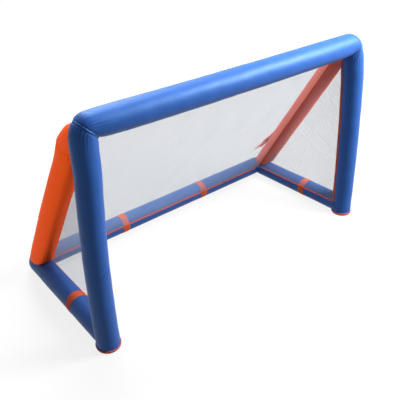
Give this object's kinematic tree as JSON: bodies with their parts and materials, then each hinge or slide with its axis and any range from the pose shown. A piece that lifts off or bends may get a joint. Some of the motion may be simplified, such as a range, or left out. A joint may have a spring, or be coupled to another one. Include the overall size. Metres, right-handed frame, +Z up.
{
  "type": "inflatable hockey goal",
  "caption": "Inflatable hockey goal of air-filled fabric tubes, with sloping rear braces, a stretched fine-mesh net, strap loops, round feet and a covered air valve.",
  "frame": {"origin": "on the ground, at the middle of the bounding box", "axes": "+X across the mouth towards the right-hand post as a shooter sees it, +Y from the mouth to the rear, +Z up"},
  "size_m": [2.13, 0.984, 1.35],
  "materials": {
    "blue_polyester": "coated polyester, satin",
    "orange_polyester": "coated polyester, satin",
    "orange_foot_cloth": "heavy coated cloth, satin",
    "bladder_film": "translucent film",
    "net_mesh": "fine see-through mesh",
    "orange_binding": "woven tape",
    "orange_webbing": "ribbed webbing",
    "zip_tape": "woven tape",
    "zip_coil": "moulded",
    "zip_metal": "plated",
    "valve_plastic": "moulded",
    "valve_accent": "moulded",
    "soft_rubber": "matt",
    "spring_steel": "drawn wire"
  },
  "bodies": {
    "frame": {"crossbar_sleeve": "blue_polyester", "left_post_sleeve": "blue_polyester", "right_post_sleeve": "blue_polyester", "left_base_sleeve": "blue_polyester", "right_base_sleeve": "blue_polyester", "back_base_sleeve": "blue_polyester", "left_brace_sleeve": "orange_polyester", "right_brace_sleeve": "orange_polyester", "left_elbow_sleeve": "orange_polyester", "right_elbow_sleeve": "orange_polyester", "left_foot_cap": "orange_foot_cloth", "right_foot_cap": "orange_foot_cloth", "left_foot_welt": "orange_foot_cloth", "right_foot_welt": "orange_foot_cloth", "arch_bladder": "bladder_film", "base_bladder": "bladder_film", "left_brace_bladder": "bladder_film", "right_brace_bladder": "bladder_film", "upper_air_links": "bladder_film", "lower_air_links": "bladder_film", "back_net": "net_mesh", "left_side_net": "net_mesh", "right_side_net": "net_mesh", "top_net_binding": "orange_binding", "back_hem_binding": "orange_binding", "left_hem_binding": "orange_binding", "right_hem_binding": "orange_binding", "left_corner_binding": "orange_binding", "right_corner_binding": "orange_binding", "left_post_binding": "orange_binding", "right_post_binding": "orange_binding", "valve_flap_hem": "orange_binding", "back_left_strap": "orange_webbing", "back_right_strap": "orange_webbing", "left_base_strap": "orange_webbing", "right_base_strap": "orange_webbing", "crossbar_zip_tape": "zip_tape", "base_zip_tape": "zip_tape", "crossbar_zip_coil": "zip_coil", "base_zip_coil": "zip_coil", "valve_body": "valve_plastic", "valve_clamp_nut": "valve_plastic", "valve_spring": "spring_steel"},
    "crossbar_slider": {"crossbar_zip_slider": "zip_metal"},
    "crossbar_pull": {"crossbar_zip_pull": "zip_metal"},
    "base_slider": {"base_zip_slider": "zip_metal"},
    "base_pull": {"base_zip_pull": "zip_metal"},
    "poppet": {"valve_poppet": "valve_accent", "valve_seal": "soft_rubber"},
    "cap_carrier": {"valve_tether": "soft_rubber", "valve_cap_gasket": "soft_rubber"},
    "cap": {"valve_cap": "valve_accent"},
    "flap": {"valve_flap": "orange_polyester"}
  },
  "joints": [
    {"name": "crossbar_zip_slide", "type": "slide", "parent": "frame", "child": "crossbar_slider", "axis": [1, 0, 0], "range_m": [-0.575, 0]},
    {"name": "crossbar_pull_swing", "type": "hinge", "parent": "crossbar_slider", "child": "crossbar_pull", "pos_m": [0.2877, -0.34905, 1.285], "axis": [0, 0, 1], "range_deg": [0, 180]},
    {"name": "base_zip_slide", "type": "slide", "parent": "frame", "child": "base_slider", "axis": [1, 0, 0], "range_m": [-0.575, 0]},
    {"name": "base_pull_swing", "type": "hinge", "parent": "base_slider", "child": "base_pull", "pos_m": [0.2877, 0.48901, 0.09855], "axis": [0, -0.5, 0.866], "range_deg": [0, 180]},
    {"name": "poppet_push", "type": "slide", "parent": "frame", "child": "poppet", "axis": [0, -0.8483, -0.5295], "range_m": [0, 0.005], "stiffness_N_per_m": 300, "springref_m": -0.004, "deforming": ["valve_spring"]},
    {"name": "cap_lift", "type": "slide", "parent": "frame", "child": "cap_carrier", "axis": [0, 0.8483, 0.5295], "range_m": [0, 0.005]},
    {"name": "cap_turn", "type": "hinge", "parent": "cap_carrier", "child": "cap", "pos_m": [0.995, 0.31816, 0.32446], "axis": [0, 0.8483, 0.5295], "range_deg": [0, 448]},
    {"name": "flap_lift", "type": "hinge", "parent": "frame", "child": "flap", "pos_m": [0.995, 0.22664, 0.45595], "axis": [1, 0, 0], "range_deg": [0, 110]}
  ],
  "couplings": [
    {"joint": "cap_lift", "follows": "cap_turn", "m_per_rad": 0.00063662}
  ]
}
